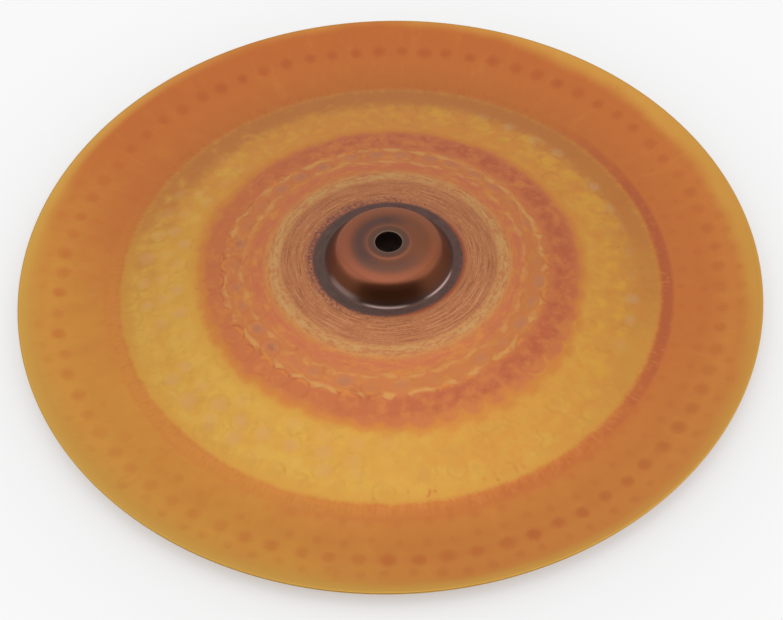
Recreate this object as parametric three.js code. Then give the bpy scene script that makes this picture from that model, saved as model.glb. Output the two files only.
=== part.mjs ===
// A 14 inch china cymbal, hammered and lathed from one round sheet of bronze.
// From the middle outwards: a stand hole in a flat seat, a low flat-topped cup, a lathed collar, a
// cambered bow with rows of hammer marks, a rolled crease, and a lip that curls up to the rim.
// Millimetres, +Z up. The origin is on the axis, in the plane that the crease rests on.
import * as THREE from "three";

// Sheet
const cymbalDiameter = 355.6;
const centreThickness = 1.1;
const rimThickness = 0.85;

// Hole and seat, where the stand's rod and felts go
const holeDiameter = 12.7;
const seatDiameter = 21.2;
const seatStep = 0.25;
const seatBevel = 0.5;

// Cup
const cupHeight = 11.7;
const domeDrop = 1.6;
const domeBulge = 0.4;
const shoulderDiameter = 48.4;
const shoulderRound = 5;
const wallAngle = THREE.MathUtils.degToRad(55);
const rootRound = 3;
const rootLand = 5.1;

// Bow, from the cup's root land down to the crease
const bowRise = 14.3;
const bowCamber = 1.4;
const collarWidth = 24;
const collarRingPitch = 6;

// Crease and lip; the lip's width runs from the middle of the crease's land to the rim
const lipWidth = 44.5;
const creaseLand = 3.4;
const creaseShoulder = 3;
const lipRise = 7.1;
const lipCurl = 2.2;
const lipRingPitch = 10;

// Hammer marks: the bow has close rows of them, and the lip has one row of smaller marks, set in
// from the rim
const bowMark = { radius: 4.8, depth: 0.35, pitch: 12.8, rowPitch: 13, margin: 5 };
const lipMark = { radius: 3.4, depth: 0.25, pitch: 13.15, rimDistance: 18.8 };

// Sides of the rings on the two faces
const cupSides = 36;
const collarSides = 60;
const outerSides = 120;
const undersideBowSides = 72;
const roundSteps = 4;
const undersideRingPitch = 18;

const bronze = new THREE.MeshStandardMaterial({
  name: "bronze",
  color: new THREE.Color().setRGB(0.78, 0.5, 0.2, THREE.SRGBColorSpace),
  roughness: 0.38,
  metalness: 1,
});

const holeRadius = holeDiameter / 2;
const seatRadius = seatDiameter / 2;
const shoulderRadius = shoulderDiameter / 2;
const rimRadius = cymbalDiameter / 2;
const creaseRadius = rimRadius - lipWidth;
const creaseInner = creaseRadius - creaseLand / 2;
const creaseOuter = creaseRadius + creaseLand / 2;
const lipRowRadius = rimRadius - lipMark.rimDistance;

// The sheet keeps its full thickness across the seat, and thins steadily from there to the rim.
function thicknessAt(radius) {
  const share = Math.max(0, (radius - seatRadius) / (rimRadius - seatRadius));
  return THREE.MathUtils.lerp(centreThickness, rimThickness, share);
}

// Heights of the upper face. The underside of the crease lies at zero.
const creaseHeight = thicknessAt(creaseRadius);
const rootHeight = creaseHeight + bowRise;
const seatHeight = rootHeight + cupHeight;
const shoulderHeight = seatHeight - seatStep - domeDrop;
const rootRadius = shoulderRadius + (shoulderHeight - rootHeight) / Math.tan(wallAngle);
const landRadius = rootRadius + rootLand;

// A corner of a line, cut by an arc of the given radius that touches both of its sides.
function roundedCorner(before, corner, after, radius) {
  const toBefore = before.clone().sub(corner).normalize();
  const toAfter = after.clone().sub(corner).normalize();
  const half = Math.acos(toBefore.dot(toAfter)) / 2;
  const middle = toBefore.clone().add(toAfter).setLength(radius / Math.sin(half));
  const centre = corner.clone().add(middle);
  const touch = [toBefore, toAfter].map((side) =>
    corner.clone().add(side.clone().multiplyScalar(radius / Math.tan(half))),
  );
  const [first, last] = touch.map((point) => point.clone().sub(centre).angle());
  const turn = THREE.MathUtils.euclideanModulo(last - first + Math.PI, 2 * Math.PI) - Math.PI;
  return Array.from({ length: roundSteps + 1 }, (_, step) => {
    const angle = first + (turn * step) / roundSteps;
    return new THREE.Vector2(Math.cos(angle), Math.sin(angle)).multiplyScalar(radius).add(centre);
  });
}

// The cup's upper face from the hole to the end of its root land, as (radius, height) points.
function makeCupLine() {
  const seatEdge = new THREE.Vector2(seatRadius, seatHeight);
  const domeStart = new THREE.Vector2(seatRadius + seatBevel, seatHeight - seatStep);
  const shoulder = new THREE.Vector2(shoulderRadius, shoulderHeight);
  const root = new THREE.Vector2(rootRadius, rootHeight);
  const landEnd = new THREE.Vector2(landRadius, rootHeight);
  const shoulderArc = roundedCorner(domeStart, shoulder, root, shoulderRound);
  // The dome bulges a little above the straight line from the seat to the shoulder.
  const domeMiddle = domeStart.clone().lerp(shoulderArc[0], 1 / 2);
  domeMiddle.y += domeBulge;
  return [
    new THREE.Vector2(holeRadius, seatHeight),
    seatEdge,
    domeStart,
    domeMiddle,
    ...shoulderArc,
    ...roundedCorner(shoulder, root, landEnd, rootRound),
    landEnd,
  ];
}
const cupLine = makeCupLine();

const onCreaseLand = (radius) => radius >= creaseInner && radius <= creaseOuter;

// Height of the upper face at a radius, without the hammer marks.
function heightAt(radius) {
  if (radius <= landRadius) {
    const next = Math.max(1, cupLine.findIndex((point) => point.x >= radius));
    const [a, b] = [cupLine[next - 1], cupLine[next]];
    return THREE.MathUtils.mapLinear(radius, a.x, b.x, a.y, b.y);
  }
  if (onCreaseLand(radius)) return thicknessAt(radius);
  if (radius < creaseInner) {
    const share = (radius - landRadius) / (creaseInner - landRadius);
    return creaseHeight + bowRise * (1 - share ** bowCamber);
  }
  const share = (radius - creaseOuter) / (rimRadius - creaseOuter);
  return creaseHeight + lipRise * share ** lipCurl;
}

// Slope of the upper face, measured over half a sheet's thickness each way. The seat and the
// crease's land are level.
function slopeAt(radius) {
  if (radius <= seatRadius || onCreaseLand(radius)) return 0;
  const inner = radius - rimThickness / 2;
  const outer = Math.min(rimRadius, radius + rimThickness / 2);
  return Math.atan2(heightAt(outer) - heightAt(inner), outer - inner);
}

// A ring of points round the axis: each has its angle, its radius and how deep it is struck.
function plainRing(radius, count, turn = 0) {
  return Array.from({ length: count }, (_, i) => ({
    angle: turn + (2 * Math.PI * i) / count,
    radius,
    struck: 0,
  }));
}

// One row of round hammer marks, each a six-sided hollow with its deepest point in the middle.
// The row takes three rings: two that hold the marks' corners, and one through their middles.
function markRow(radius, mark, turn) {
  const count = Math.floor((2 * Math.PI * radius) / mark.pitch);
  const cornerRise = mark.radius * Math.sin(Math.PI / 3);
  const sides = (ringRadius, offsets) =>
    Array.from({ length: count }, (_, k) => turn + (2 * Math.PI * k) / count).flatMap((middle) =>
      offsets.map((offset) => ({
        angle: middle + offset / ringRadius,
        radius: ringRadius,
        struck: offset === 0 ? mark.depth : 0,
      })),
    );
  const corners = [-mark.radius / 2, mark.radius / 2];
  return [
    sides(radius - cornerRise, corners),
    sides(radius, [-mark.radius, 0, mark.radius]),
    sides(radius + cornerRise, corners),
  ];
}

// Radii spread evenly from one to another, as close to the pitch as whole steps allow.
function spread(from, to, pitch) {
  const steps = Math.max(1, Math.round((to - from) / pitch));
  return Array.from({ length: steps + 1 }, (_, i) => from + ((to - from) * i) / steps);
}

// The bow's rows of marks, each turned half a mark against the last so that they stagger.
function bowRows() {
  const first = landRadius + collarWidth + bowMark.radius;
  const last = creaseInner - bowMark.margin - bowMark.radius;
  return spread(first, last, bowMark.rowPitch).flatMap((radius, row) =>
    markRow(radius, bowMark, ((row % 2) * bowMark.pitch) / 2 / radius),
  );
}

function upperRings() {
  const collar = spread(landRadius, landRadius + collarWidth, collarRingPitch).slice(1, -1);
  const lipInner = spread(creaseOuter, lipRowRadius - lipMark.radius, lipRingPitch).slice(1, -1);
  const lipOuter = spread(lipRowRadius + lipMark.radius, rimRadius, lipRingPitch / 2).slice(1);
  return [
    ...cupLine.map((point) => plainRing(point.x, cupSides)),
    ...collar.map((radius) => plainRing(radius, collarSides)),
    ...bowRows(),
    plainRing(creaseInner - creaseShoulder, outerSides),
    plainRing(creaseInner, outerSides),
    plainRing(creaseOuter, outerSides),
    ...lipInner.map((radius) => plainRing(radius, outerSides)),
    ...markRow(lipRowRadius, lipMark, 0),
    ...lipOuter.map((radius) => plainRing(radius, outerSides)),
  ];
}

function undersideRings() {
  const bow = spread(landRadius, creaseInner, undersideRingPitch).slice(1, -1);
  const lip = spread(creaseOuter, rimRadius, lipRingPitch).slice(1, -1);
  return [
    ...cupLine.map((point) => plainRing(point.x, cupSides)),
    ...bow.map((radius) => plainRing(radius, undersideBowSides)),
    plainRing(creaseInner, outerSides),
    plainRing(creaseOuter, outerSides),
    ...lip.map((radius) => plainRing(radius, outerSides)),
    plainRing(rimRadius, outerSides),
  ];
}

function upperPoint({ angle, radius, struck }) {
  const height = heightAt(radius) - struck;
  return new THREE.Vector3(radius * Math.cos(angle), radius * Math.sin(angle), height);
}

// The underside lies a sheet's thickness below the upper face, measured square to it. The rim is
// trimmed upright, so there the two faces end at the same radius.
function undersidePoint({ angle, radius }) {
  const slope = slopeAt(radius);
  const thickness = thicknessAt(radius);
  const atRim = radius === rimRadius;
  const shifted = atRim ? radius : radius + thickness * Math.sin(slope);
  const depth = atRim ? thickness / Math.cos(slope) : thickness * Math.cos(slope);
  const height = heightAt(radius) - depth;
  return new THREE.Vector3(shifted * Math.cos(angle), shifted * Math.sin(angle), height);
}

// Joins two rings with a band of triangles. At each step the ring whose next point comes first
// round the axis moves on, so the rings may have different numbers of points.
function band(a, b) {
  const triangles = [];
  const angleOf = (ring, i) =>
    ring[i % ring.length].angle + 2 * Math.PI * Math.floor(i / ring.length);
  const gap = (i) => Math.abs(angleOf(b, i) - angleOf(a, 0));
  const start = b.reduce((best, _, i) => (gap(i) < gap(best) ? i : best), 0);
  let i = 0;
  let j = 0;
  while (i < a.length || j < b.length) {
    const along = angleOf(a, i + 1) + angleOf(a, i);
    const beside = angleOf(b, start + j + 1) + angleOf(b, start + j);
    const [p, q] = [a[i % a.length].index, b[(start + j) % b.length].index];
    if (j === b.length || (i < a.length && along <= beside)) {
      i += 1;
      triangles.push(p, q, a[i % a.length].index);
    } else {
      j += 1;
      triangles.push(p, q, b[(start + j) % b.length].index);
    }
  }
  return triangles;
}

// The whole sheet as one closed skin: out along the upper face, round the rim, and back along the
// underside to the hole.
function makeSheet() {
  const upper = upperRings().map((ring) => ring.map((place) => ({ ...place, at: upperPoint(place) })));
  const under = undersideRings().map((ring) =>
    ring.map((place) => ({ ...place, at: undersidePoint(place) })),
  );
  const loop = [...upper, ...under.reverse()];
  const positions = [];
  for (const point of loop.flat()) {
    point.index = positions.length / 3;
    positions.push(...point.at.toArray());
  }
  const triangles = loop.flatMap((ring, i) => band(ring, loop[(i + 1) % loop.length]));
  const geometry = new THREE.BufferGeometry();
  geometry.setAttribute("position", new THREE.Float32BufferAttribute(positions, 3));
  geometry.setIndex(triangles);
  geometry.computeVertexNormals();
  return geometry;
}

const cymbal = new THREE.Mesh(makeSheet(), bronze);
cymbal.name = "cymbal";

const part = new THREE.Group();
part.add(cymbal);

export default part;
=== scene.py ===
# A 14 inch china cymbal, hammered and lathed from one round sheet of bronze, lying on a pale floor.
# The imported model gives its place and its overall size. This script makes the fine sheet with its
# hammer marks, lathe grooves and pressed crease, and the heat colours of its two faces.
# Among the heat colours are some painted highlights, painted sheen and painted shade, named where they are
# laid.
import math

import bpy
import numpy as np
from mathutils import Matrix, Vector


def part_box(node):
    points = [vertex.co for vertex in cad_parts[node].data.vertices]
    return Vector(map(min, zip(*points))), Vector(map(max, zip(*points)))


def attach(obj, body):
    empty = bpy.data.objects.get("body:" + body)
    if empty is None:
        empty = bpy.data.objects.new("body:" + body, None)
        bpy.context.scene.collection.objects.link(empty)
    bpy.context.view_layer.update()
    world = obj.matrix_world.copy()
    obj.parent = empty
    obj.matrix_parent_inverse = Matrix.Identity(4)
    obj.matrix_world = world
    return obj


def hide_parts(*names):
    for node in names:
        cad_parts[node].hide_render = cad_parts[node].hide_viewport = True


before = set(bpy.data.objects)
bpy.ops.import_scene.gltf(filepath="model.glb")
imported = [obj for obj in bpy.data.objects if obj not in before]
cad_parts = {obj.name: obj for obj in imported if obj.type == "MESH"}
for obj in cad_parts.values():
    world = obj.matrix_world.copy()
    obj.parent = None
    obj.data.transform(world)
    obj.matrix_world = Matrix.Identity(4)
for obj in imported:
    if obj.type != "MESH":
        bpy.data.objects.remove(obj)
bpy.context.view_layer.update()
NODE = "cymbal"
LOW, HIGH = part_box(NODE)

# Blender's unit is the metre. Sizes below are in millimetres, unless their comment says metres.
MM = 0.001
RIM_RADIUS = HIGH.x / MM
SEAT_HEIGHT = HIGH.z / MM

# Sheet
CENTRE_THICKNESS = 1.1
RIM_THICKNESS = 0.85
EDGE_ROUND = 0.3

# Hole, seat and cup
HOLE_RADIUS = 6.35
SEAT_RADIUS = 10.6
SEAT_STEP = 0.25
SEAT_BEVEL = 0.5
DOME_DROP = 1.6
DOME_BULGE = 0.4
SHOULDER_RADIUS = 24.2
SHOULDER_ROUND = 5.0
WALL_ANGLE = math.radians(55)
ROOT_ROUND = 1.8
ROOT_LAND = 5.1

# Bow, crease and lip
BOW_RISE = 14.3
BOW_CAMBER = 1.4
CREASE_RADIUS = 133.3
CREASE_LAND = 3.4
LIP_RISE = 7.1
LIP_CURL = 2.2

# How far the corners of the section are softened, on the cup and outside it, and how many times as
# far off a point still counts
CUP_SOFTNESS = 0.3
BOW_SOFTNESS = 1.8
SOFTNESS_SPREAD = 3

# Steps in each arc of the section, points along its dome, points along its bow and its lip, and how
# far apart its points lie once it is softened
ARC_STEPS = 16
DOME_POINTS = 12
CURVE_POINTS = 200
PROFILE_STEP = 0.1

# Rows of the mesh: up to each radius, how far apart they lie on the upper face and on the underside,
# and how many round an edge. Its columns: how many there are inside and outside one radius.
UPPER_STEPS = ((36.4, 0.6), (51.8, 0.3), (60.0, 0.7), (129.0, 1.0), (138.0, 0.6), (RIM_RADIUS, 1.1))
UNDER_STEPS = ((36.4, 1.2), (RIM_RADIUS, 1.7))
EDGE_STEPS = 6
INNER_COLUMNS = 480
OUTER_COLUMNS = 960
COLUMNS_CHANGE = 60.0

SEED = 14
rng = np.random.default_rng(SEED)


# Section of the sheet

def thickness_at(radius):
    share = np.clip((radius - SEAT_RADIUS) / (RIM_RADIUS - SEAT_RADIUS), 0, 1)
    return CENTRE_THICKNESS + (RIM_THICKNESS - CENTRE_THICKNESS) * share


def rounded_corner(before, corner, after, radius):
    """Points of the arc that rounds a corner of the section."""
    to_before = (before - corner).normalized()
    to_after = (after - corner).normalized()
    half = to_before.angle(to_after) / 2
    centre = corner + (to_before + to_after).normalized() * (radius / math.sin(half))
    first, last = [corner + side * (radius / math.tan(half)) - centre for side in (to_before, to_after)]
    spokes = [first.slerp(last, step / ARC_STEPS).normalized() for step in range(ARC_STEPS + 1)]
    return [centre + spoke * radius for spoke in spokes]


def section_line():
    """The upper face from the hole to the rim, as arrays of radii and heights, and the radius where
    the bow starts."""
    crease_height = float(thickness_at(CREASE_RADIUS))
    root_height = crease_height + BOW_RISE
    dome_start = Vector((SEAT_RADIUS + SEAT_BEVEL, SEAT_HEIGHT - SEAT_STEP))
    shoulder = Vector((SHOULDER_RADIUS, SEAT_HEIGHT - SEAT_STEP - DOME_DROP))
    root_radius = SHOULDER_RADIUS + (shoulder.y - root_height) / math.tan(WALL_ANGLE)
    root = Vector((root_radius, root_height))
    land_end = Vector((root_radius + ROOT_LAND, root_height))
    shoulder_arc = rounded_corner(dome_start, shoulder, root, SHOULDER_ROUND)
    root_arc = rounded_corner(shoulder, root, land_end, ROOT_ROUND)
    dome = []
    for share in np.linspace(0, 1, DOME_POINTS):
        point = dome_start.lerp(shoulder_arc[0], share)
        dome.append(point + Vector((0, DOME_BULGE * math.sin(math.pi * share))))
    cup = [Vector((HOLE_RADIUS, SEAT_HEIGHT)), Vector((SEAT_RADIUS, SEAT_HEIGHT))]
    cup += dome + shoulder_arc[1:] + root_arc
    crease_inner = CREASE_RADIUS - CREASE_LAND / 2
    crease_outer = CREASE_RADIUS + CREASE_LAND / 2
    share = np.linspace(0, 1, CURVE_POINTS)
    bow = crease_height + BOW_RISE * (1 - share ** BOW_CAMBER)
    lip = crease_height + LIP_RISE * share ** LIP_CURL
    radii = [
        [point.x for point in cup],
        land_end.x + (crease_inner - land_end.x) * share,
        crease_outer + (RIM_RADIUS - crease_outer) * share,
    ]
    heights = [[point.y for point in cup], bow, lip]
    return np.concatenate(radii), np.concatenate(heights), land_end.x


def soften(values, reach):
    """Smooths evenly spaced values and keeps both ends where they are."""
    width = int(SOFTNESS_SPREAD * reach / PROFILE_STEP)
    weights = np.exp(-0.5 * (np.arange(-width, width + 1) * PROFILE_STEP / reach) ** 2)
    padded = np.pad(values, width, mode="reflect", reflect_type="odd")
    return np.convolve(padded, weights / weights.sum(), mode="valid")


def soft_section():
    """The upper face as evenly spaced radii, heights and slopes, with its corners softened."""
    radii, heights, land_radius = section_line()
    along = np.concatenate([[0], np.cumsum(np.hypot(np.diff(radii), np.diff(heights)))])
    even = np.arange(0, along[-1], PROFILE_STEP)
    radius = np.interp(even, along, radii)
    height = np.interp(even, along, heights)
    outside = np.clip((radius - land_radius) / ROOT_LAND, 0, 1)
    softened = []
    for values in (radius, height):
        cup, bow = soften(values, CUP_SOFTNESS), soften(values, BOW_SOFTNESS)
        softened.append(cup + (bow - cup) * outside)
    radius, height = softened
    slope = np.arctan2(np.gradient(height), np.gradient(radius))
    return radius, height, slope


LINE_RADIUS, LINE_HEIGHT, LINE_SLOPE = soft_section()


def chosen_rows(steps):
    """Indices along the softened section, as far apart as the steps say."""
    inner, outer = HOLE_RADIUS + EDGE_ROUND, RIM_RADIUS - EDGE_ROUND
    rows = []
    position = 0.0
    while position < len(LINE_RADIUS):
        radius = LINE_RADIUS[int(position)]
        if inner <= radius <= outer:
            rows.append(int(position))
        step = next((gap for limit, gap in steps if radius < limit), steps[-1][1])
        position += step / PROFILE_STEP
    return np.array(rows)


def face_rows(steps, under):
    """Radius and height of each row of one face, from the hole outwards."""
    rows = chosen_rows(steps)
    radius, height, slope = LINE_RADIUS[rows], LINE_HEIGHT[rows], LINE_SLOPE[rows]
    if under:
        thickness = thickness_at(radius)
        radius = radius + thickness * np.sin(slope)
        height = height - thickness * np.cos(slope)
    return radius, height


def edge_rows(end, thickness, reach):
    """The rounded edge between the faces at the hole or the rim, from the upper face down. It reaches
    that far past the end of the upper face."""
    turns = np.linspace(0, math.pi, EDGE_STEPS + 2)[1:-1]
    middle = end[1] - thickness / 2
    return end[0] + reach * np.sin(turns), middle + thickness / 2 * np.cos(turns)


# Hammer marks

# The side towards which the rows near the collar drift off the axis, in degrees from +X
DRIFT_SIDE = 200

# How much smaller or larger, and shallower or deeper, a mark may be than its row's
MARK_SIZES = (0.88, 1.12)
MARK_DEPTHS = (0.5, 1.4)


class MarkRow:
    """One row of round marks. Its centre may lie off the axis, and each mark is a little off its
    place and its size."""

    def __init__(self, radius, pitch, size, depth, stray, drift=0.0):
        self.count = int(2 * math.pi * radius / pitch)
        self.step = 2 * math.pi / self.count
        self.start = rng.uniform(0, self.step)
        turn = self.start + self.step * np.arange(self.count) + rng.normal(0, stray / radius, self.count)
        reach = radius + drift * np.cos(turn - math.radians(DRIFT_SIDE)) + rng.normal(0, stray, self.count)
        self.x, self.y = reach * np.cos(turn), reach * np.sin(turn)
        self.size = size * rng.uniform(*MARK_SIZES, self.count)
        self.depth = depth * rng.uniform(*MARK_DEPTHS, self.count)
        self.tone = rng.uniform(0, 1, self.count)

    def nearest(self, x, y):
        """Distance from the nearest mark's middle as a share of its size, and which mark it is."""
        index = np.round((np.arctan2(y, x) - self.start) / self.step).astype(int)
        reach = np.full(x.shape, np.inf)
        which = np.zeros(x.shape, int)
        for beside in (-1, 0, 1):
            mark = (index + beside) % self.count
            found = np.hypot(x - self.x[mark], y - self.y[mark]) / self.size[mark]
            which = np.where(found < reach, mark, which)
            reach = np.minimum(found, reach)
        return reach, which


# Each row on the bow: its radius, how far its centre lies off the axis, and the pitch of its marks
BOW_ROWS = (
    (63.2, 2.6, 13.0), (72.2, 2.6, 13.0), (81.2, 2.4, 11.2), (91.6, 1.6, 12.5),
    (101.2, 1.0, 14.5), (109.4, 0.6, 14.0), (117.2, 0.3, 14.8), (125.0, 0.0, 13.0),
)
BOW_MARK = {"size": 5.2, "depth": 0.05, "stray": 0.8}

# The rows on the lip: three faint ones and a clear one
FAINT_ROWS = (140.4, 149.8, 167.4)
FAINT_MARK = {"pitch": 11.5, "size": 2.7, "depth": 0.008, "stray": 0.8}
LIP_ROW = 159.0
LIP_MARK = {"pitch": 12.5, "size": 3.5, "depth": 0.025, "stray": 0.45}

bow_marks = [MarkRow(radius, pitch, drift=drift, **BOW_MARK) for radius, drift, pitch in BOW_ROWS]
faint_marks = [MarkRow(radius, **FAINT_MARK) for radius in FAINT_ROWS]
lip_marks = [MarkRow(LIP_ROW, **LIP_MARK)]


# A mark's hollow, and the edge raised round it: where it is, its width and its height as shares of
# the mark's size and depth
HOLLOW_POWER = 1.5
RAISED_AT = 1.12
RAISED_WIDTH = 0.16
RAISED_HEIGHT = 0.12


def dish(reach):
    """Depth of a mark across its width: a round hollow with a low raised edge."""
    hollow = np.where(reach < 1, (1 - np.minimum(reach, 1) ** 2) ** HOLLOW_POWER, 0)
    edge = np.exp(-((reach - RAISED_AT) / RAISED_WIDTH) ** 2)
    return hollow - RAISED_HEIGHT * edge


# What counts as far from every mark, in sizes of a mark
FAR_REACH = 9.0


def nearest_marks(rows, x, y):
    """Over a set of rows: how deep its marks go, how far the nearest mark's middle is as a share of
    its size, and that mark's tone."""
    depth = np.zeros(x.shape)
    tone = np.zeros(x.shape)
    nearest = np.full(x.shape, FAR_REACH)
    for row in rows:
        reach, which = row.nearest(x, y)
        depth += row.depth[which] * dish(reach)
        tone = np.where(reach < nearest, row.tone[which], tone)
        nearest = np.minimum(reach, nearest)
    return depth, nearest, tone


# Pressed crease and lathed collar

CREASE_PRESSES = 320
PRESS_DEPTH = 0.006
PRESS_WIDTH = 3.2
COLLAR_INNER = 37.0
COLLAR_OUTER = 51.4
COLLAR_FADE = 2.0

# The lathe's waves on the collar: their pitches and their depth. Its three grooves: their radii and
# depths, and how wide they are
WAVE_PITCHES = (0.9, 1.3, 2.1)
WAVE_DEPTH = 0.018
GROOVES = ((46.6, 0.05), (48.9, 0.035), (50.7, 0.06))
GROOVE_WIDTH = 0.32

# Marks, presses and grooves start with the collar and end this far from the rim, with this fade
RIM_MARGIN = 3 * EDGE_ROUND
MARKS_FADE = 1.0


def window(values, low, high, fade):
    """1 between the two limits, fading to 0 outside them."""
    rise = np.clip((values - low) / fade + 0.5, 0, 1)
    fall = np.clip((high - values) / fade + 0.5, 0, 1)
    return rise * fall


def pressed(x, y, radius):
    wave = 0.5 + 0.5 * np.cos(CREASE_PRESSES * np.arctan2(y, x))
    return PRESS_DEPTH * wave * np.exp(-((radius - CREASE_RADIUS) / PRESS_WIDTH) ** 2)


def lathed(radius):
    depth = np.zeros_like(radius)
    for pitch, phase in zip(WAVE_PITCHES, rng.uniform(0, 2 * math.pi, len(WAVE_PITCHES))):
        depth += WAVE_DEPTH * np.cos(2 * math.pi * radius / pitch + phase)
    depth *= window(radius, COLLAR_INNER, COLLAR_OUTER, COLLAR_FADE)
    for groove, deep in GROOVES:
        depth += deep * np.exp(-((radius - groove) / GROOVE_WIDTH) ** 2)
    return depth


# The mesh

def sheet_rows():
    """Every row of the closed skin: out along the upper face, round the rim, back along the
    underside and up through the hole. Each is (radius, height, columns, is upper)."""
    upper = face_rows(UPPER_STEPS, under=False)
    under = face_rows(UNDER_STEPS, under=True)
    rim = edge_rows((RIM_RADIUS - EDGE_ROUND, upper[1][-1]), upper[1][-1] - under[1][-1], EDGE_ROUND)
    hole = edge_rows((HOLE_RADIUS + EDGE_ROUND, upper[1][0]), CENTRE_THICKNESS, -EDGE_ROUND)
    rows = []
    for radius, height in zip(*upper):
        rows.append((radius, height, INNER_COLUMNS if radius < COLUMNS_CHANGE else OUTER_COLUMNS, True))
    rows += [(radius, height, OUTER_COLUMNS, True) for radius, height in zip(*rim)]
    for radii, heights in (under, hole):
        inwards = zip(radii[::-1], heights[::-1])
        rows += [(radius, height, INNER_COLUMNS, False) for radius, height in inwards]
    return rows


def ring_faces(first, first_count, second, second_count):
    """Faces between two rings of vertices. One ring may have twice as many as the other."""
    if first_count == second_count:
        k = np.arange(first_count)
        after = (k + 1) % first_count
        return np.stack([first + k, first + after, second + after, second + k], -1).tolist()
    coarse_first = first_count < second_count
    coarse, count, fine = (first, first_count, second) if coarse_first else (second, second_count, first)
    k = np.arange(count)
    after = (k + 1) % count
    a, b, c = fine + 2 * k, fine + 2 * k + 1, fine + (2 * k + 2) % (2 * count)
    fans = [(coarse + k, b, a), (coarse + k, coarse + after, b), (coarse + after, c, b)]
    faces = []
    for fan in fans:
        fan = fan if coarse_first else fan[::-1]
        faces += np.stack(fan, -1).tolist()
    return faces


def skin_points(rows):
    """Radius, height and turn of every point of the skin, and whether it is on the upper face."""
    columns = [row[2] for row in rows]
    radius, height, is_upper = [np.repeat([row[k] for row in rows], columns) for k in (0, 1, 3)]
    turn = np.concatenate([np.arange(count) * 2 * math.pi / count for count in columns])
    return radius, height, turn, is_upper


def skin_faces(rows):
    starts = np.cumsum([0] + [row[2] for row in rows])
    faces = []
    for i, row in enumerate(rows):
        j = (i + 1) % len(rows)
        faces += ring_faces(starts[i], row[2], starts[j], rows[j][2])
    return faces


def make_sheet():
    rows = sheet_rows()
    radius, height, turn, is_upper = skin_points(rows)
    x, y = radius * np.cos(turn), radius * np.sin(turn)
    bow_depth, bow_reach, bow_tone = nearest_marks(bow_marks, x, y)
    lip_depth, lip_reach, _ = nearest_marks(lip_marks, x, y)
    faint_depth, faint_reach, _ = nearest_marks(faint_marks, x, y)
    struck = bow_depth + lip_depth + faint_depth + pressed(x, y, radius)
    struck += np.where(is_upper, lathed(radius), 0)
    height = height - struck * window(radius, COLLAR_INNER, RIM_RADIUS - RIM_MARGIN, MARKS_FADE)

    mesh = bpy.data.meshes.new("hammered_sheet")
    points = np.stack([x, y, height], -1) * MM
    mesh.from_pydata(points.tolist(), [], skin_faces(rows))
    for name, values in (
        ("bow_reach", bow_reach),
        ("bow_tone", bow_tone),
        ("lip_reach", lip_reach),
        ("faint_reach", faint_reach),
    ):
        attribute = mesh.attributes.new(name, "FLOAT", "POINT")
        attribute.data.foreach_set("value", values.astype(np.float32))
    mesh.shade_smooth()
    mesh.update()
    return mesh


# Node helpers

class Tree:
    """Adds nodes to a material's or the world's tree, by short calls that return sockets."""

    def __init__(self, tree):
        self.nodes = tree.nodes
        self.links = tree.links
        self.nodes.clear()

    def put(self, socket, value):
        if isinstance(value, bpy.types.NodeSocket):
            self.links.new(value, socket)
        else:
            socket.default_value = value

    def math(self, operation, a, b=0.0, c=0.0, clamp=False):
        node = self.nodes.new("ShaderNodeMath")
        node.operation = operation
        node.use_clamp = clamp
        for socket, value in zip(node.inputs, (a, b, c)):
            self.put(socket, value)
        return node.outputs[0]

    def smooth(self, value, low, high):
        """0 below low, 1 above high, and a smooth step between; high below low turns it round."""
        node = self.nodes.new("ShaderNodeMapRange")
        node.interpolation_type = "SMOOTHSTEP"
        limits, ends = ((low, high), (0.0, 1.0)) if low < high else ((high, low), (1.0, 0.0))
        for socket, setting in zip(node.inputs[:5], (value, *limits, *ends)):
            self.put(socket, setting)
        return node.outputs[0]

    def noise(self, vector, size, detail, rough):
        """Noise about 0, between -1 and 1, with features about size millimetres wide."""
        node = self.nodes.new("ShaderNodeTexNoise")
        self.put(node.inputs["Vector"], vector)
        node.inputs["Scale"].default_value = 1 / size
        node.inputs["Detail"].default_value = detail
        node.inputs["Roughness"].default_value = rough
        return self.math("MULTIPLY_ADD", node.outputs["Fac"], 2.0, -1.0)

    def mix(self, factor, a, b):
        """The first colour where the factor is 0 and the second where it is 1."""
        node = self.nodes.new("ShaderNodeMix")
        node.data_type = "RGBA"
        self.put(node.inputs["Factor"], factor)
        self.put(node.inputs[6], a)
        self.put(node.inputs[7], b)
        return node.outputs[2]

    def ramp(self, factor, stops):
        node = self.nodes.new("ShaderNodeValToRGB")
        elements = node.color_ramp.elements
        node.color_ramp.interpolation = "EASE"
        while len(elements) < len(stops):
            elements.new(0.5)
        for element, (place, colour) in zip(elements, stops):
            element.position = place
            element.color = colour
        self.put(node.inputs[0], factor)
        return node.outputs[0]

    def attribute(self, name):
        node = self.nodes.new("ShaderNodeAttribute")
        node.attribute_name = name
        return node.outputs["Fac"]


def paint(red, green, blue):
    """A colour written as 0 to 255 on a screen, in Blender's linear values."""
    def linear(channel):
        channel /= 255
        return channel / 12.92 if channel <= 0.04045 else ((channel + 0.055) / 1.055) ** 2.4
    return (linear(red), linear(green), linear(blue), 1.0)


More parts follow.
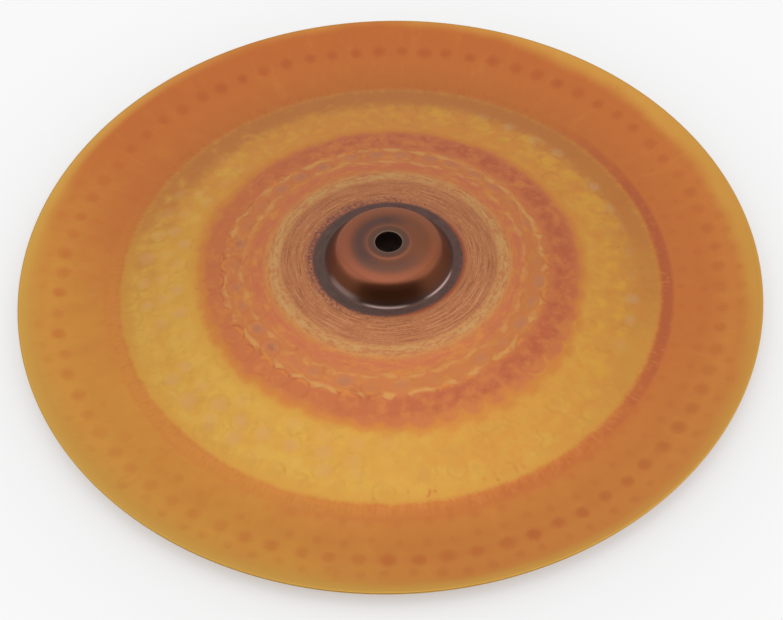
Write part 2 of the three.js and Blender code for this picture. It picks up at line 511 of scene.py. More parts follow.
# Heat colours, from the hole outwards: the radius where each is reached, and the colour
SEAT_BROWN = paint(98, 68, 56)
SEAT_LINE = paint(138, 82, 58)
CUP_SMUDGE = paint(124, 75, 52)
CUP_COPPER = paint(142, 82, 53)
WALL_BROWN = paint(102, 57, 34)
ROOT_GREY = paint(93, 68, 62)
FOOT_BROWN = paint(173, 110, 72)
COLLAR_TAN = paint(176, 112, 72)
TAN_RING = paint(190, 134, 82)
GOLD_RING = paint(196, 132, 76)
ORANGE_RING = paint(196, 119, 70)
RED_BAND = paint(194, 113, 68)
ORANGE_FRINGE = paint(201, 127, 61)
YELLOW_BOW = paint(207, 152, 67)
CREASE_RED = paint(199, 120, 57)
LIP_ORANGE = paint(200, 138, 60)
RINGS = (
    (9.4, SEAT_BROWN), (10.3, SEAT_LINE), (11.6, CUP_SMUDGE), (17.5, CUP_SMUDGE),
    (22.0, CUP_COPPER), (23.0, CUP_COPPER), (26.8, WALL_BROWN), (28.4, WALL_BROWN),
    (31.0, ROOT_GREY), (35.3, ROOT_GREY), (36.9, FOOT_BROWN), (43.0, COLLAR_TAN),
    (50.8, COLLAR_TAN), (52.8, TAN_RING), (56.0, TAN_RING), (58.2, GOLD_RING),
    (60.4, ORANGE_RING), (76.0, ORANGE_RING), (79.0, RED_BAND), (89.0, RED_BAND),
    (92.5, ORANGE_FRINGE), (97.5, YELLOW_BOW), (129.0, YELLOW_BOW), (131.8, CREASE_RED),
    (135.6, CREASE_RED), (138.6, LIP_ORANGE),
)

# Colours of the veils over the rings
SMUDGE_AND_SHADE_DARK = paint(88, 64, 60)
CUP_PINK_AND_SHEEN = paint(150, 86, 62)
PAINTED_ROOT_GLINT = paint(206, 178, 168)
ROOT_OLIVE = paint(86, 71, 63)
ROOT_DARK = paint(80, 58, 56)
ROOT_PALE = paint(106, 80, 72)
RING_KHAKI = paint(200, 158, 100)
RING_ROSE = paint(184, 109, 73)
RING_PINK = paint(194, 108, 76)
RING_GOLD = paint(210, 143, 66)
BAND_DEEP = paint(178, 92, 62)
BOW_BROWN = paint(188, 119, 60)
BOW_AMBER = paint(206, 135, 62)
BOW_OLIVE = paint(198, 144, 66)
BOW_GOLD = paint(212, 156, 62)
BOW_BRIGHT = paint(214, 168, 76)
LIP_RED = paint(192, 112, 56)
LIP_DEEP = paint(183, 102, 51)
LIP_GOLD = paint(228, 166, 74)
CREASE_DARK = paint(177, 94, 57)
YELLOW_RIM = paint(204, 150, 68)
EDGE_GOLD = paint(208, 162, 76)
EDGE_OLIVE_SHADE = paint(150, 118, 62)
HOLE_GREY = paint(126, 108, 92)

# Colours of the marks, streaks and specks
MARK_PALE = paint(208, 158, 108)
MARK_COOL = paint(194, 154, 120)
MARK_GREY = paint(176, 120, 92)
MARK_SPOT = paint(136, 90, 70)
MARK_LINE = paint(176, 112, 54)
MARK_RED = paint(172, 90, 54)
MARK_CRESCENT = paint(212, 134, 58)
MARK_HOOK = paint(198, 94, 52)
RIDGE_YELLOW = paint(208, 160, 90)
DOT_ORANGE = paint(190, 106, 50)
DOT_RED = paint(168, 80, 48)
PRESS_PINK = paint(211, 131, 74)
PRESS_DARK = paint(184, 99, 53)
STREAK_LIGHT = paint(206, 150, 108)
STREAK_DARK = paint(134, 78, 57)
COLLAR_FLECK = paint(192, 136, 88)
FOOT_SPECK = paint(112, 66, 66)
FOOT_RED = paint(156, 78, 50)
SPECK_DARK = paint(124, 72, 44)

# Fields are values over the sheet, which the colours follow. Besides those below there are "radius",
# the marks' own (bow_reach, bow_tone, lip_reach and faint_reach), those of Heat.make_own_fields, and
# sides: a number is a side in degrees from +X, and its field is 1 there and -1 on the far side.

# Noise: how wide its features are, how much detail it has, and how rough it is
NOISES = {
    "broad": (38.0, 2.0, 0.5),
    "middle": (9.0, 3.0, 0.5),
    "fine": (1.6, 3.0, 0.6),
    "foot_noise": (1.5, 3.0, 0.7),
    "patches": (6.0, 3.0, 0.6),
    "blotches": (10.0, 2.0, 0.5),
    "ridge_wave": (12.0, 1.0, 0.5),
    "ridge_pieces": (6.0, 2.0, 0.5),
    "dot_noise": (14.0, 1.0, 0.5),
}

# Streaks: how wide their features are, the radius that the turn is squeezed to, how much the radius
# is squeezed, and how much detail they have. The smaller the first squeeze, the longer they are round
# the axis, and the smaller the second, the longer they are along the radius.
STREAKS = {
    "lathe_streaks": (0.4, 1.25, 1.0, 4.0),
    "root_streaks": (1.6, 14.0, 1.0, 4.0),
    "ring_streaks": (1.4, 12.0, 1.0, 4.0),
    "band_streaks": (3.0, 26.0, 1.0, 4.0),
    "ridge_streaks": (1.8, 14.0, 1.0, 4.0),
    "bow_rays": (3.0, 120.0, 0.2, 4.0),
    "lip_rays": (7.0, 155.0, 0.3, 4.0),
    "press_streaks": (3.4, CREASE_RADIUS, 0.7, 2.0),
}
STREAK_ROUGHNESS = 0.65

# Steps: the field that they follow, and its values where they are 0 and 1
STEPS = {
    "on_cup": ("radius", 30.5, 27.5),
    "inside_lip": ("radius", 172.0, 138.0),
    "bulge": (302, 0.7, 0.97),
    "near_left": (215, 0.55, 0.95),
    "mark_gap": ("bow_reach", 0.5, 1.15),
    "ridge_gap": ("bow_reach", 0.7, 1.1),
}

# Distances: how far a field is from a value
DISTANCES = {
    "left_glint": ("radius", 30.1),
    "near_glint": ("radius", 31.0),
    "right_glint": ("radius", 30.9),
    "outline": ("bow_reach", 0.92),
    "outer_line": ("bow_reach", 1.08),
    "crescent": ("soft_reach", 0.66),
    "off_crease": ("radius", CREASE_RADIUS),
}

# Sums of fields, each with its weight. Those called a start or an end are the radius, shifted so
# that the border they give sways.
THIRD_ROW, THIRD_ROW_DRIFT = BOW_ROWS[2][:2]
SUMS = {
    "brown_side": {80: 1.0, "broad": 0.5},
    "brown_start": {"radius": 1.0, "bow_rays": 8.0},
    "brown_end": {"radius": 1.0, "bow_rays": 5.0},
    "amber_side": {90: 1.0, "middle": 1.5},
    "bright_left": {205: 1.0, "middle": 2.4},
    "bright_near_left": {232: 1.0, "middle": 2.4},
    "red_side": {34: 1.0, "broad": 0.3, "middle": 0.12, "inside_lip": 0.16},
    "lip_start": {"radius": 1.0, "fine": 1.5},
    "dark_crease_side": {1: 1.0, "middle": 0.2},
    "smudge_side": {150: 1.0, "middle": 0.4, "fine": 0.5},
    "rim_start": {"radius": 1.0, 90: -2.0, "across_squared": -8.0, "broad": -4.0},
    "ring_grain": {"ring_streaks": 1.0, "fine": 0.5},
    "foot_blotches": {"foot_noise": 1.0, 160: 0.26},
    "soft_reach": {"bow_reach": 1.0, "fine": 0.4, "middle": 0.5},
    "patchy_tone": {"bow_tone": 1.0, "middle": 2.2},
    "third_row": {"radius": 1.0, DRIFT_SIDE: -THIRD_ROW_DRIFT},
    "third_row_tone": {"bow_tone": 1.0, "middle": 1.5},
    "dot": {"lip_reach": 1.0, "fine": 0.4},
    "faint_dot": {"faint_reach": 1.0, "fine": 0.4},
    "presses": {"ticks": 0.15, "press_streaks": 2.0},
}

# How far the borders of the rings are moved inwards: between which radii and with what fade, and by
# how many millimetres for each field. They sway, bulge between the hammer marks, and drift off the
# axis near the collar.
BORDER_MOVES = (
    ((66.0, 116.0, 12.0), {"broad": 3.2, "middle": 2.6}),
    ((36.0, 61.0, 1.0), {"fine": 1.5}),
    ((84.0, 102.0, 4.0), {"gap_swell": 1.0, "fine": 1.6, "bulge": -4.0, "near_left": 1.8}),
    ((126.0, 142.0, 3.0), {"middle": 1.6, "fine": 1.0}),
    ((62.0, 82.0, 6.0), {DRIFT_SIDE: -2.4}),
)


def veil(colour, thickly, *masks, ring=None):
    """A colour that lies over the others: how thickly, its masks and its ring. A mask is a field and
    its values where the veil is clear and where it is full, or a field alone that says how full it
    is. A ring is two radii, and how far the veil fades on either side of each."""
    return colour, thickly, masks, ring


# The back of the bow and of the lip are browner and darker than the front, and the left and the front are
# brighter, partly heat colour and partly painted shade and painted sheen. The cup is smudged, on its near
# side partly as painted shade, and the edge of its dome is pinker on the near left, partly as a painted
# soft highlight.
BROWN_BAND = (("brown_start", 101.0, 122.0), ("brown_end", 134.5, 126.5))
SIDE_VEILS = (
    # Browner at the back of the bow: partly heat colour, partly painted shade
    veil(BOW_BROWN, 1.0, ("brown_side", -0.9, 0.8), *BROWN_BAND),
    veil(BOW_AMBER, 0.9, ("amber_side", -0.4, 0.9), ring=(93.5, 113.0, 4.0)),
    # Brighter on the left and the near left of the bow: partly heat colour, partly a painted sheen
    veil(BOW_BRIGHT, 0.75, ("bright_left", -0.2, 1.6), ring=(97.0, 112.0, 4.0)),
    veil(BOW_BRIGHT, 0.75, ("bright_near_left", -0.2, 1.6), ring=(112.0, 126.0, 4.0)),
    veil(LIP_RED, 1.0, ("red_side", -1.0, -0.3), ("lip_start", 127.5, 134.0)),
    veil(LIP_ORANGE, 0.35, (275, 0.2, 1.0), ring=(138.5, 157.0, 2.5)),
    # Darker at the back of the lip towards the rim: partly heat colour, partly painted shade
    veil(LIP_DEEP, 1.0, (98, 0.1, 1.0), ("radius", 146.0, 168.0)),
    veil(LIP_GOLD, 0.25, (270, -0.8, 0.6), ("radius", 150.0, 165.0)),
    veil(CREASE_DARK, 1.0, ("dark_crease_side", 0.62, 1.0), ring=(131.2, 136.4, 1.3)),
    veil(LIP_ORANGE, 0.5, (225, 0.3, 1.0), ring=(131.0, 137.0, 1.5)),
    # Pinker and lighter on the near left of the dome's edge: partly its tone, partly a painted soft
    # highlight
    veil(CUP_PINK_AND_SHEEN, 1.0, (225, -0.4, 1.0), ring=(19.0, 24.8, 2.5)),
    veil(SMUDGE_AND_SHADE_DARK, 0.9, ("smudge_side", -0.5, 0.6), ring=(11.5, 16.5, 2.5)),
    # Darker on the near side of the dome: partly a smudge, partly painted shade
    veil(SMUDGE_AND_SHADE_DARK, 0.5, (260, 0.2, 0.9), ring=(12.5, 19.0, 3.0)),
)

# The lip is yellow towards the rim, on the left and the right most, and hardly at all at the back
RIM_VEILS = (
    veil(YELLOW_RIM, 0.9, ("rim_start", 164.0, 173.5)),
    veil(EDGE_GOLD, 0.6, (215, -0.5, 0.5), ("radius", 171.5, 176.5)),
)

# Streaks of the lathe on the collar, light and dark, and the broken rings of colour round it
COLLAR_RING = (37.5, 51.4, 1.2)
COLLAR_VEILS = (
    veil(STREAK_LIGHT, 0.85, ("lathe_streaks", 0.03, 0.45), ring=COLLAR_RING),
    veil(STREAK_DARK, 0.85, ("lathe_streaks", -0.03, -0.3), ring=COLLAR_RING),
    veil(COLLAR_FLECK, 0.6, ("fine", 0.02, 0.4), ring=(38.5, 51.0, 2.5)),
    veil(RING_KHAKI, 0.65, ("ring_grain", -0.15, 0.35), ring=(53.0, 57.6, 1.6)),
    veil(RING_ROSE, 0.75, ("ring_grain", 0.05, -0.35), ring=(51.5, 60.0, 1.5)),
)

# The foot of the cup: specks and red metal round it, grey scale on it, and three painted highlights on its
# root
ROOT_RING = (31.6, 35.2, 0.8)
FOOT_VEILS = (
    veil(FOOT_SPECK, 0.85, ("foot_blotches", -0.05, 0.42), ring=(35.6, 39.7, 1.6)),
    veil(FOOT_RED, 0.85, (335, 0.1, 0.8), ("middle", -0.6, 0.1), ring=(35.3, 36.9, 0.8)),
    veil(ROOT_OLIVE, 0.6, (190, -0.2, 0.9), ring=ROOT_RING),
    veil(ROOT_DARK, 0.7, ("root_streaks", -0.05, 0.35), ring=ROOT_RING),
    veil(ROOT_PALE, 0.5, ("root_streaks", -0.05, -0.35), ring=ROOT_RING),
    veil(ROOT_GREY, 1.0, (205, 0.2, 0.9), ("foot_blotches", -0.3, 0.0), ring=(35.0, 36.5, 0.7)),
    # Painted highlights: bright glints on the root's fillet, on the right, the near side and the left
    veil(PAINTED_ROOT_GLINT, 0.8, (322, 0.92, 1.0), ("right_glint", 0.7, 0.0)),
    veil(PAINTED_ROOT_GLINT, 0.9, (266, 0.92, 1.0), ("near_glint", 0.8, 0.0)),
    veil(PAINTED_ROOT_GLINT, 0.3, (222, 0.92, 1.0), ("left_glint", 1.3, 0.0)),
)

# The inner half of the bow: streaks of pink and gold, and the red band with its fringe
YELLOW_OUTLINE = (("outer_line", 0.18, 0.0), ("bow_tone", 0.3, 0.8))
BAND_VEILS = (
    veil(RING_PINK, 0.75, ("band_streaks", -0.25, 0.25), ring=(61.0, 66.2, 1.4)),
    veil(RING_GOLD, 0.5, ("band_streaks", 0.05, -0.4), ring=(58.0, 77.5, 2.0)),
    veil(RING_PINK, 0.4, ("band_streaks", 0.05, 0.4), ring=(69.0, 76.0, 2.0)),
    veil(BOW_BROWN, 0.35, (315, 0.1, 0.95), ring=(65.0, 78.0, 3.0)),
    veil(BAND_DEEP, 0.25, (315, 0.1, 0.95), ring=(79.0, 90.0, 2.5)),
    veil(BOW_AMBER, 0.6, (308, 0.75, 1.0), ("middle", -0.4, 0.3), ring=(88.0, 97.0, 3.0)),
    veil(BOW_GOLD, 0.4, *YELLOW_OUTLINE, (318, 0.8, 0.95), ring=(90.0, 96.0, 1.5)),
    veil(BAND_DEEP, 0.75, ("patches", -0.15, 0.3), (200, 0.9, -0.3), ring=(79.0, 89.0, 2.5)),
    veil(RING_GOLD, 0.3, ("patches", 0.0, -0.4), ring=(79.0, 90.0, 2.5)),
)

# The outer half of the bow: patches of colour, some of which follow the hammer marks
BOW_RING = (95.0, 128.0, 2.5)
BOW_FRONT = (240, -0.1, 0.8)
BOW_BACK = (75, -0.5, 0.6)
ON_MARK = ("soft_reach", 1.0, 0.2)
BOW_VEILS = (
    veil(BOW_OLIVE, 0.5, ("patches", -0.02, -0.4), BOW_FRONT, ring=BOW_RING),
    veil(BOW_BRIGHT, 0.3, ON_MARK, ("bow_tone", 0.45, 0.15), BOW_FRONT, ring=BOW_RING),
    veil(BOW_OLIVE, 0.35, ON_MARK, ("bow_tone", 0.45, 0.7), BOW_FRONT, ring=BOW_RING),
    veil(BOW_AMBER, 0.6, ("blotches", 0.0, 0.35), BOW_BACK, ring=(95.0, 116.0, 4.0)),
    veil(BOW_GOLD, 0.5, ("patches", 0.05, -0.4), BOW_BACK, ring=(94.0, 117.0, 4.0)),
    veil(LIP_RED, 0.4, ("patches", 0.0, 0.4), BOW_BACK, ring=(112.0, 130.0, 4.0)),
    veil(BOW_GOLD, 0.7, ("blotches", 0.1, -0.3), (20, -0.2, 0.7), ring=(103.0, 117.5, 3.0)),
    veil(BOW_AMBER, 0.5, (320, 0.5, 0.95), ("patches", -0.3, 0.3), ring=(97.0, 128.0, 4.0)),
)

# Outlines of the hammer marks, crescents on the inner side of the third row, and worn middles
PATCHY = ("patchy_tone", 0.3, 1.4)
THIRD_ROW_SIDE = (
    ("third_row", THIRD_ROW - 1.2, THIRD_ROW - 3.4),
    ("third_row", THIRD_ROW - 6.0, THIRD_ROW - 5.0),
    ("third_row_tone", 0.2, 0.7),
)
PART_OUTLINE = (("outline", 0.2, 0.0), ("middle", 0.1, 0.3))
MARK_CORE = (("soft_reach", 0.95, 0.2), ("bow_tone", -0.1, 0.7))
MARK_CENTRE = (("soft_reach", 0.5, 0.1), ("bow_tone", 0.5, 0.9))
MARK_VEILS = (
    veil(MARK_RED, 0.25, ("outline", 0.3, 0.0), PATCHY, ring=(66.0, 90.0, 1.5)),
    veil(MARK_LINE, 0.2, ("outline", 0.3, 0.0), PATCHY, ring=BOW_RING),
    veil(MARK_CRESCENT, 0.6, ("crescent", 0.24, 0.04), *THIRD_ROW_SIDE),
    veil(MARK_RED, 0.6, ("outline", 0.18, 0.0), (215, 0.0, 0.8), *THIRD_ROW_SIDE),
    veil(MARK_HOOK, 0.6, *PART_OUTLINE, (278, 0.93, 0.98), ring=(124.0, 128.0, 1.0)),
    veil(MARK_PALE, 0.4, *MARK_CORE, (205, 0.1, 0.9), ring=(97.0, 122.0, 2.0)),
    veil(MARK_COOL, 0.5, *MARK_CORE, ("fine", -0.5, 0.3), (20, 0.6, 0.85), ring=(112.5, 120.0, 1.5)),
    veil(MARK_GREY, 0.5, *MARK_CORE, ring=(70.0, 75.0, 1.5)),
    veil(MARK_SPOT, 0.35, *MARK_CENTRE, (200, -0.6, 0.6), ring=(70.5, 76.0, 2.0)),
)

# Each ridge of yellow metal: radius, how far its middle lies off the axis, half its width, and how
# thickly it covers
RIDGES = ((67.8, 2.6, 1.0, 0.45), (76.4, 2.6, 1.3, 0.6))

# How far the ridges sway, how far their edges fray, how they fade across an edge, and where round the
# axis and between the marks they stand
RIDGE_WAVE = 2.6
RIDGE_FRAY = 1.6
RIDGE_FADE = (1.3, -1.0)
RIDGE_PIECES = ("ridge_pieces", -0.35, 0.15)
RIDGE_IN_GAP = (-0.2, 0.6)

# The row of marks on the lip, paler on two sides, the fainter rows beside it, and the presses of the
# crease
LIP_RING = (138.0, 172.0, 4.0)
ON_DOT = (("dot", 1.35, 0.4), ("dot_strength",), (350, 1.71, 0.1), (222, 1.25, 0.8))
ON_CREASE = ("off_crease", 4.4, 1.6)
LIP_VEILS = (
    veil(DOT_ORANGE, 0.22, ("lip_rays", 0.0, 0.5), ring=LIP_RING),
    veil(LIP_GOLD, 0.08, ("lip_rays", 0.0, -0.5), ring=LIP_RING),
    veil(DOT_ORANGE, 0.75, *ON_DOT),
    veil(DOT_RED, 0.65, *ON_DOT, (35, -0.9, 0.3)),
    veil(DOT_ORANGE, 0.22, ("faint_dot", 1.3, 0.2), ("middle", -0.4, 0.3)),
    veil(DOT_RED, 0.1, ("faint_dot", 1.2, 0.3), (315, -0.2, 0.6)),
    veil(PRESS_PINK, 0.35, ON_CREASE, ("presses", 0.0, 0.8), (270, -0.9, 0.2)),
    veil(PRESS_DARK, 0.4, ON_CREASE, ("presses", 0.0, -0.7)),
    veil(LIP_ORANGE, 0.3, ON_CREASE, (215, 0.2, 0.9), ("press_streaks", 0.2, -0.2)),
)

# Small dark specks all over: how far apart they lie, how wide they are, how thickly they cover, and
# where they are
SPECK_PITCH = 11.0
SPECK_SIZE = 0.6
SPECK_THICKLY = 0.5
SPECK_PLACES = ("middle", 0.12, 0.3)

# Bare metal on the rounded edges of the rim and the hole, and painted shade on the rim's edge on the left
ON_RIM_EDGE = ("radius", RIM_RADIUS - 0.7, RIM_RADIUS - 0.3)
EDGE_VEILS = (
    veil(EDGE_GOLD, 0.8, ON_RIM_EDGE),
    # Painted shade: the rim's edge is darker olive on the left
    veil(EDGE_OLIVE_SHADE, 0.3, ON_RIM_EDGE, (190, 0.2, 0.8)),
    veil(HOLE_GREY, 0.6, ("radius", 7.3, 6.6)),
)

# For the fields that no table gives: the side where, as opposite it, the rim's yellow is narrowest, how
# much more the borders swell between the marks at the bulge, and the strength of the marks on the lip
ACROSS_SIDE = -64
BULGE_SWELL = 2.0
DOT_MEAN_STRENGTH = 0.7
DOT_STRENGTH_RANGE = 0.5


class Heat(Tree):
    """The sheet's colour and finish, from its fields."""

    def __init__(self, tree):
        super().__init__(tree)
        place = self.nodes.new("ShaderNodeTexCoord").outputs["Object"]
        scaled = self.nodes.new("ShaderNodeVectorMath")
        scaled.operation = "SCALE"
        self.put(scaled.inputs[0], place)
        scaled.inputs["Scale"].default_value = 1 / MM
        self.point = scaled.outputs[0]
        split = self.nodes.new("ShaderNodeSeparateXYZ")
        self.put(split.inputs[0], self.point)
        x, y = split.outputs[:2]
        self.radius = self.math("SQRT", self.add(self.times(x, x), self.times(y, y)))
        self.turn = self.math("ARCTAN2", y, x)
        self.fields = {"radius": self.radius}
        self.colour = None
        self.make_own_fields()

    def add(self, a, b):
        return self.math("ADD", a, b)

    def times(self, *factors):
        product = factors[0]
        for factor in factors[1:]:
            product = self.math("MULTIPLY", product, factor)
        return product

    def total(self, weights):
        """The sum of fields, each times its weight."""
        total = 0.0
        for name, weight in weights.items():
            total = self.math("MULTIPLY_ADD", self.field(name), weight, total)
        return total

    def field(self, name):
        """A field's socket. It is made once, when it is first asked for."""
        if name not in self.fields:
            self.fields[name] = self.make_field(name)
        return self.fields[name]

    def make_field(self, name):
        if isinstance(name, int):
            return self.facing(name)
        if name in NOISES:
            return self.noise(self.point, *NOISES[name])
        if name in STREAKS:
            return self.streaks(*STREAKS[name])
        if name in STEPS:
            return self.mask(*STEPS[name])
        if name in DISTANCES:
            followed, value = DISTANCES[name]
            return self.math("ABSOLUTE", self.math("SUBTRACT", self.field(followed), value))
        if name in SUMS:
            return self.total(SUMS[name])
        return self.attribute(name)

    def make_own_fields(self):
        """The fields that no table gives."""
        across = self.field(ACROSS_SIDE)
        self.fields["across_squared"] = self.times(across, across)
        swell = self.math("MULTIPLY_ADD", self.field("bulge"), BULGE_SWELL, 1.0)
        self.fields["gap_swell"] = self.times(self.math("SUBTRACT", self.field("mark_gap"), 0.5), swell)
        self.fields["ticks"] = self.math("COSINE", self.times(self.turn, float(CREASE_PRESSES)))
        strength = (self.field("dot_noise"), DOT_STRENGTH_RANGE, DOT_MEAN_STRENGTH)
        self.fields["dot_strength"] = self.math("MULTIPLY_ADD", *strength, clamp=True)

    def facing(self, degrees):
        """1 where the radius points that way from the middle, and -1 on the far side."""
        return self.math("COSINE", self.math("SUBTRACT", self.turn, math.radians(degrees)))

    def streaks(self, size, turn_squeeze, radius_squeeze, detail):
        """Noise drawn out round the axis or along the radius."""
        place = self.nodes.new("ShaderNodeCombineXYZ")
        self.put(place.inputs[0], self.times(self.field(0), turn_squeeze))
        self.put(place.inputs[1], self.times(self.field(90), turn_squeeze))
        self.put(place.inputs[2], self.times(self.radius, radius_squeeze))
        return self.noise(place.outputs[0], size, detail, STREAK_ROUGHNESS)

    def mask(self, name, *limits):
        """A field, or with limits a smooth step from 0 at the first to 1 at the second."""
        return self.smooth(self.field(name), *limits) if limits else self.field(name)

    def between(self, low, high, fade):
        """1 on the ring between two radii, fading to 0 outside it."""
        rise = self.smooth(self.radius, low - fade, low + fade)
        return self.times(rise, self.smooth(self.radius, high + fade, high - fade))

    def cover(self, colour, *factors):
        """Lays a colour over what is there, as thickly as the factors multiply to."""
        self.colour = self.mix(self.times(*factors), self.colour, colour)

    def lay(self, veils):
        for colour, thickly, masks, ring in veils:
            factors = [self.mask(*mask) for mask in masks]
            if ring:
                factors.append(self.between(*ring))
            self.cover(colour, thickly, *factors)

    def lay_rings(self):
        """The rings of heat colour, with their borders moved."""
        warped = self.radius
        for ring, weights in BORDER_MOVES:
            warped = self.add(warped, self.times(self.total(weights), self.between(*ring)))
        share = self.math("DIVIDE", warped, RIM_RADIUS)
        self.colour = self.ramp(share, [(at / RIM_RADIUS, colour) for at, colour in RINGS])

    def lay_ridges(self):
        """Broken ridges of yellow metal, left standing between the rows of marks near the collar."""
        gap = self.field("ridge_gap")
        wave = self.times(self.field("ridge_wave"), RIDGE_WAVE)
        fray = self.times(self.field("ridge_streaks"), RIDGE_FRAY)
        broken = self.times(self.mask(*RIDGE_PIECES), self.smooth(gap, *RIDGE_IN_GAP))
        for start, drift, width, thickly in RIDGES:
            line = self.math("MULTIPLY_ADD", self.field(DRIFT_SIDE), drift, start)
            off_line = self.math("ABSOLUTE", self.math("SUBTRACT", self.radius, self.add(line, wave)))
            half_width = self.add(self.times(gap, width), fray)
            ridge = self.smooth(self.math("SUBTRACT", off_line, half_width), *RIDGE_FADE)
            self.cover(RIDGE_YELLOW, thickly, ridge, broken)

    def lay_specks(self):
        cells = self.nodes.new("ShaderNodeTexVoronoi")
        self.put(cells.inputs["Vector"], self.point)
        cells.inputs["Scale"].default_value = 1 / SPECK_PITCH
        away = self.times(cells.outputs["Distance"], SPECK_PITCH)
        speck = self.smooth(away, SPECK_SIZE, SPECK_SIZE / 3)
        self.cover(SPECK_DARK, SPECK_THICKLY, speck, self.mask(*SPECK_PLACES))


# Finish: its grain is the height of the fine noise, in millimetres
METALLIC = 0.8
ROUGHNESS = 0.42
ROUGHNESS_WEIGHTS = {"middle": 0.05, "on_cup": -0.1}
SPECULAR = 0.3
COAT = 0.04
COAT_ROUGHNESS = 0.15
GRAIN_STRENGTH = 0.2
GRAIN_HEIGHT = 0.04


def bronze_material():
    material = bpy.data.materials.new("heat_coloured_bronze")
    material.use_nodes = True
    heat = Heat(material.node_tree)
    heat.lay_rings()
    for veils in (SIDE_VEILS, RIM_VEILS, COLLAR_VEILS, FOOT_VEILS, BAND_VEILS, BOW_VEILS, MARK_VEILS):
        heat.lay(veils)
    heat.lay_ridges()
    heat.lay(LIP_VEILS)
    heat.lay_specks()
    heat.lay(EDGE_VEILS)
    shader = heat.nodes.new("ShaderNodeBsdfPrincipled")
    output = heat.nodes.new("ShaderNodeOutputMaterial")
    heat.links.new(shader.outputs[0], output.inputs[0])
    heat.put(shader.inputs["Base Color"], heat.colour)
    shader.inputs["Metallic"].default_value = METALLIC
    heat.put(shader.inputs["Roughness"], heat.add(heat.total(ROUGHNESS_WEIGHTS), ROUGHNESS))
    shader.inputs["Specular IOR Level"].default_value = SPECULAR
    shader.inputs["Coat Weight"].default_value = COAT
    shader.inputs["Coat Roughness"].default_value = COAT_ROUGHNESS
    bump = heat.nodes.new("ShaderNodeBump")
    bump.inputs["Strength"].default_value = GRAIN_STRENGTH
    bump.inputs["Distance"].default_value = GRAIN_HEIGHT * MM
    heat.put(bump.inputs["Height"], heat.field("fine"))
    heat.put(shader.inputs["Normal"], bump.outputs[0])
    return material


def make_cymbal():
    piece = bpy.data.objects.new("cymbal_sheet", make_sheet())
    bpy.context.scene.collection.objects.link(piece)
    piece.data.materials.append(bronze_material())
    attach(piece, "root")
    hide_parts(NODE)
    return piece


# Stage, lamps and camera

# The floor's size in metres, its white, and its own glow from one radius to another
FLOOR_SIZE = 12.0
FLOOR_WHITE = 0.9
FLOOR_GLOW = 0.75
GLOW_START = 60.0
GLOW_FULL = 260.0


def floor_material():
    """White that takes shadows. Away from the object, most of its white is its own glow."""
    material = bpy.data.materials.new("floor_white")
    material.use_nodes = True
    tree = Tree(material.node_tree)
    paper = tree.nodes.new("ShaderNodeBsdfDiffuse")
    paper.inputs["Color"].default_value = (FLOOR_WHITE, FLOOR_WHITE, FLOOR_WHITE, 1)
    glow = tree.nodes.new("ShaderNodeEmission")
    path = tree.nodes.new("ShaderNodeLightPath")
    seen = tree.math("MAXIMUM", path.outputs["Is Camera Ray"], path.outputs["Is Glossy Ray"])
    away = tree.nodes.new("ShaderNodeVectorMath")
    away.operation = "LENGTH"
    tree.put(away.inputs[0], tree.nodes.new("ShaderNodeTexCoord").outputs["Object"])
    white = tree.smooth(away.outputs["Value"], GLOW_START * MM, GLOW_FULL * MM)
    both = tree.nodes.new("ShaderNodeMixShader")
    tree.put(both.inputs[0], tree.math("MULTIPLY", tree.math("MULTIPLY", seen, white), FLOOR_GLOW))
    tree.links.new(paper.outputs[0], both.inputs[1])
    tree.links.new(glow.outputs[0], both.inputs[2])
    output = tree.nodes.new("ShaderNodeOutputMaterial")
    tree.links.new(both.outputs[0], output.inputs[0])
    return material


def make_floor():
    corners = [Vector((a, b, 0)) * FLOOR_SIZE / 2 for a, b in ((-1, -1), (1, -1), (1, 1), (-1, 1))]
    mesh = bpy.data.meshes.new("floor")
    mesh.from_pydata(corners, [], [(0, 1, 2, 3)])
    floor = bpy.data.objects.new("floor", mesh)
    floor.location.z = LOW.z
    bpy.context.scene.collection.objects.link(floor)
    mesh.materials.append(floor_material())


# The world's light, and what is left of it where it is dimmed: on the near side, above the horizon,
# fully within one angle of that direction and not at all outside another, and wider than high
WORLD_LEVEL = 0.85
WORLD_DIM = 0.1
DIM_ELEVATION = math.radians(18)
DIM_FULL_WITHIN = math.radians(28)
DIM_OUTSIDE = math.radians(58)
DIM_SQUEEZE = (0.62, 1.0, 1.0)


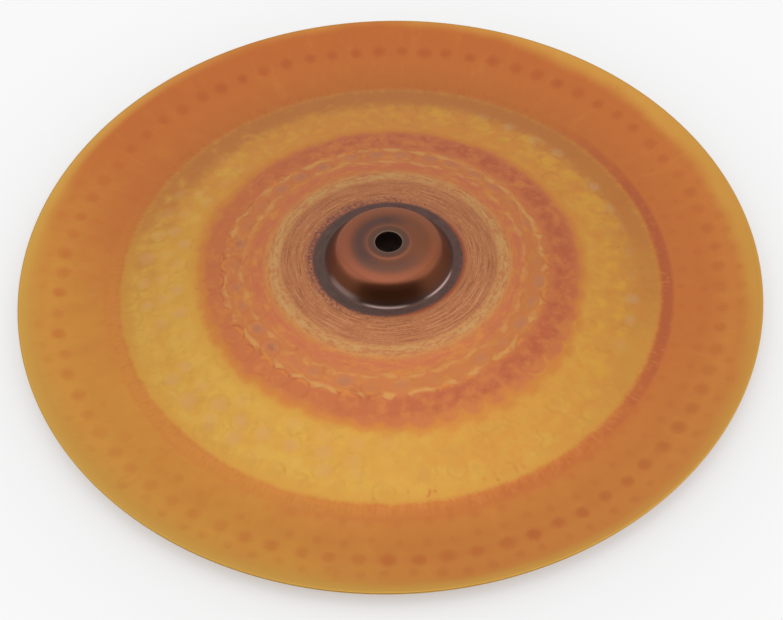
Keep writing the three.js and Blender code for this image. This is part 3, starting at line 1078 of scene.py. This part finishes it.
def make_world():
    """White all round to the camera. It lights the object much less from the camera's side."""
    world = bpy.data.worlds.new("studio")
    world.use_nodes = True
    tree = Tree(world.node_tree)
    way = tree.nodes.new("ShaderNodeTexCoord").outputs["Generated"]
    wide = tree.nodes.new("ShaderNodeVectorMath")
    wide.operation = "MULTIPLY"
    tree.put(wide.inputs[0], way)
    wide.inputs[1].default_value = DIM_SQUEEZE
    even = tree.nodes.new("ShaderNodeVectorMath")
    even.operation = "NORMALIZE"
    tree.put(even.inputs[0], wide.outputs[0])
    dot = tree.nodes.new("ShaderNodeVectorMath")
    dot.operation = "DOT_PRODUCT"
    tree.put(dot.inputs[0], even.outputs[0])
    dot.inputs[1].default_value = (0, -math.cos(DIM_ELEVATION), math.sin(DIM_ELEVATION))
    dim = tree.smooth(dot.outputs["Value"], math.cos(DIM_OUTSIDE), math.cos(DIM_FULL_WITHIN))
    level = tree.math("MULTIPLY_ADD", dim, WORLD_DIM - WORLD_LEVEL, WORLD_LEVEL)
    seen = tree.nodes.new("ShaderNodeLightPath").outputs["Is Camera Ray"]
    background = tree.nodes.new("ShaderNodeBackground")
    tree.put(background.inputs["Strength"], tree.math("MAXIMUM", level, seen))
    output = tree.nodes.new("ShaderNodeOutputWorld")
    tree.links.new(background.outputs[0], output.inputs[0])
    background.inputs["Color"].default_value = (1, 1, 1, 1)
    bpy.context.scene.world = world


# Each lamp: its name, its place and its size in metres, and its power in watts
LAMPS = (
    ("lamp_top", (0.0, 0.4, 1.8), 1.4, 3.5),
    ("lamp_left", (-1.3, -0.3, 1.0), 1.5, 3.0),
    ("lamp_right", (1.3, -0.3, 1.0), 1.5, 3.0),
)


def make_lamp(name, place, size, power):
    data = bpy.data.lights.new(name, "AREA")
    data.shape = "SQUARE"
    data.size = size
    data.energy = power
    lamp = bpy.data.objects.new(name, data)
    lamp.location = place
    lamp.rotation_euler = (-Vector(place)).to_track_quat("-Z", "Y").to_euler()
    bpy.context.scene.collection.objects.link(lamp)


# Camera, as fitted to the photograph: it looks along +Y, down on the middle of the rim's plane
PHOTO_WIDTH = 783
FOCAL_PIXELS = 1700
CAMERA_ELEVATION = math.radians(49.492)
CAMERA_DISTANCE = 817.7
CAMERA_ROLL = math.radians(1.627)
CAMERA_PAN = math.radians(0.033)
CAMERA_TILT = math.radians(-1.433)


def make_camera():
    data = bpy.data.cameras.new("camera")
    data.lens = FOCAL_PIXELS / PHOTO_WIDTH * data.sensor_width
    camera = bpy.data.objects.new("camera", data)
    rim_height = float(thickness_at(CREASE_RADIUS)) + LIP_RISE
    back = Vector((0, -math.cos(CAMERA_ELEVATION), math.sin(CAMERA_ELEVATION)))
    place = Vector((0, 0, rim_height)) + back * CAMERA_DISTANCE
    turn = Matrix.Rotation(math.pi / 2 - CAMERA_ELEVATION, 4, "X")
    turn @= Matrix.Rotation(-CAMERA_PAN, 4, "Y")
    turn @= Matrix.Rotation(CAMERA_TILT, 4, "X")
    turn @= Matrix.Rotation(-CAMERA_ROLL, 4, "Z")
    camera.matrix_world = Matrix.Translation(place * MM) @ turn
    bpy.context.scene.collection.objects.link(camera)
    bpy.context.scene.camera = camera


make_cymbal()
make_floor()
make_world()
for lamp in LAMPS:
    make_lamp(*lamp)
make_camera()
bpy.context.scene.view_settings.view_transform = "Standard"
